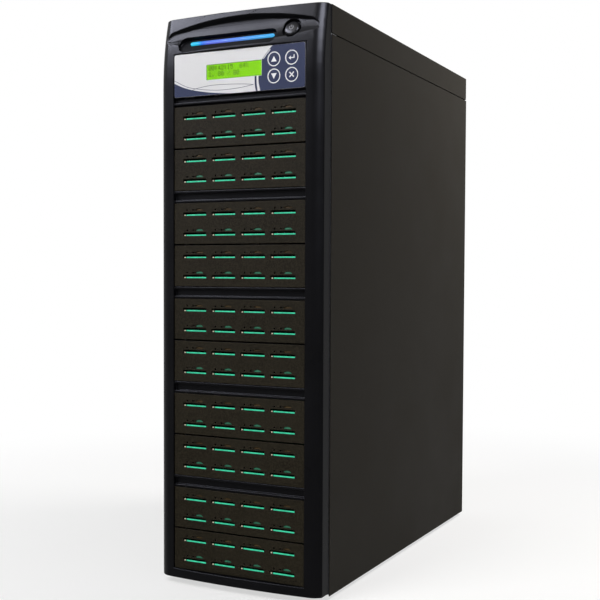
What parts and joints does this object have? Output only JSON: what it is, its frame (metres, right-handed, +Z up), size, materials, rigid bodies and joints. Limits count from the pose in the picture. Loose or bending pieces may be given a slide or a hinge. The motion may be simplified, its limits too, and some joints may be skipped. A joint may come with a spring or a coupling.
{
  "type": "sd card duplicator",
  "caption": "Free-standing tower that copies memory cards: moulded front with a lit bar, button, display module and stacked card readers, in a sheet-metal case with side panels that slide.",
  "frame": {"origin": "on the floor, under the middle of the outer box", "axes": "+X to the right as seen from the front, +Y to the back, +Z up"},
  "size_m": [0.184, 0.4196, 0.568],
  "materials": {
    "powder_coat": "fine-textured powder coat, satin",
    "bare_steel": "zinc-plated sheet, satin",
    "screw_steel": "zinc-plated",
    "thumbscrew_steel": "nickel-plated, knurled",
    "foot_rubber": "matte",
    "bezel_plastic": "satin moulded",
    "light_guide": "translucent, lit from behind",
    "circuit_board": "solder mask",
    "button_plastic": "satin moulded",
    "control_plastic": "moulded",
    "printed_film": "printed film, satin",
    "key_print": "printed film, satin",
    "display_window": "clear window",
    "display": "backlit",
    "harness": "ribbon cable",
    "psu_steel": "zinc-plated sheet",
    "fan_plastic": "moulded",
    "inlet_plastic": "moulded",
    "reader_plastic": "fine-grained moulded",
    "socket_board": "solder mask",
    "socket_steel": "stamped"
  },
  "bodies": {
    "tower": {"card_sockets_pair_1": "socket_steel", "card_sockets_pair_2": "socket_steel", "card_sockets_pair_3": "socket_steel", "card_sockets_pair_4": "socket_steel", "card_sockets_pair_5": "socket_steel", "chassis_frame": "bare_steel", "controller_board": "circuit_board", "controller_faceplate": "control_plastic", "controller_overlay": "printed_film", "drive_cage_left": "bare_steel", "drive_cage_right": "bare_steel", "front_bezel": "bezel_plastic", "lcd_module": "display", "lcd_window": "display_window", "light_bar_board": "circuit_board", "light_bar_lens": "light_guide", "mains_inlet": "inlet_plastic", "module_screws": "screw_steel", "power_supply_case": "psu_steel", "power_switch": "circuit_board", "psu_fan_frame": "fan_plastic", "reader_boards_01": "socket_board", "reader_boards_02": "socket_board", "reader_boards_03": "socket_board", "reader_boards_04": "socket_board", "reader_boards_05": "socket_board", "reader_boards_06": "socket_board", "reader_boards_07": "socket_board", "reader_boards_08": "socket_board", "reader_boards_09": "socket_board", "reader_boards_10": "socket_board", "reader_faceplate_01": "reader_plastic", "reader_faceplate_02": "reader_plastic", "reader_faceplate_03": "reader_plastic", "reader_faceplate_04": "reader_plastic", "reader_faceplate_05": "reader_plastic", "reader_faceplate_06": "reader_plastic", "reader_faceplate_07": "reader_plastic", "reader_faceplate_08": "reader_plastic", "reader_faceplate_09": "reader_plastic", "reader_faceplate_10": "reader_plastic", "rear_fan_frame": "fan_plastic", "rear_panel": "bare_steel", "rubber_feet": "foot_rubber", "switch_housing": "inlet_plastic", "top_cover": "powder_coat", "wiring_harness": "harness"},
    "right_panel": {"right_side_panel": "powder_coat", "right_panel_thumbscrews": "thumbscrew_steel"},
    "left_panel": {"left_side_panel": "powder_coat", "left_panel_thumbscrews": "thumbscrew_steel"},
    "power_button": {"power_button": "button_plastic"},
    "key_up": {"key_up": "key_print"},
    "key_down": {"key_down": "key_print"},
    "key_enter": {"key_enter": "key_print"},
    "key_escape": {"key_escape": "key_print"},
    "psu_fan": {"psu_fan_rotor": "fan_plastic"},
    "rear_fan": {"rear_fan_rotor": "fan_plastic"},
    "mains_rocker": {"rocker_switch": "inlet_plastic"}
  },
  "joints": [
    {"name": "right_panel_slide", "type": "slide", "parent": "tower", "child": "right_panel", "axis": [0, 1, 0], "range_m": [0, 0.018]},
    {"name": "left_panel_slide", "type": "slide", "parent": "tower", "child": "left_panel", "axis": [0, 1, 0], "range_m": [0, 0.018]},
    {"name": "power_button_press", "type": "slide", "parent": "tower", "child": "power_button", "axis": [0, 0.9177, -0.3972], "range_m": [0, 0.0025], "stiffness_N_per_m": 500, "springref_m": -0.0004},
    {"name": "key_up_press", "type": "slide", "parent": "tower", "child": "key_up", "axis": [0, 1, 0], "range_m": [0, 0.0005], "stiffness_N_per_m": 1500, "springref_m": -0.0001},
    {"name": "key_enter_press", "type": "slide", "parent": "tower", "child": "key_enter", "axis": [0, 1, 0], "range_m": [0, 0.0005], "stiffness_N_per_m": 1500, "springref_m": -0.0001},
    {"name": "key_down_press", "type": "slide", "parent": "tower", "child": "key_down", "axis": [0, 1, 0], "range_m": [0, 0.0005], "stiffness_N_per_m": 1500, "springref_m": -0.0001},
    {"name": "key_escape_press", "type": "slide", "parent": "tower", "child": "key_escape", "axis": [0, 1, 0], "range_m": [0, 0.0005], "stiffness_N_per_m": 1500, "springref_m": -0.0001},
    {"name": "psu_fan_spin", "type": "hinge", "parent": "tower", "child": "psu_fan", "pos_m": [-0.028, 0.18585, 0.516], "axis": [0, 1, 0], "continuous": true},
    {"name": "rear_fan_spin", "type": "hinge", "parent": "tower", "child": "rear_fan", "pos_m": [0, 0.18685, 0.403], "axis": [0, 1, 0], "continuous": true},
    {"name": "mains_rocker_tilt", "type": "hinge", "parent": "tower", "child": "mains_rocker", "pos_m": [0.048, 0.19895, 0.498], "axis": [1, 0, 0], "range_deg": [0, 16]}
  ]
}
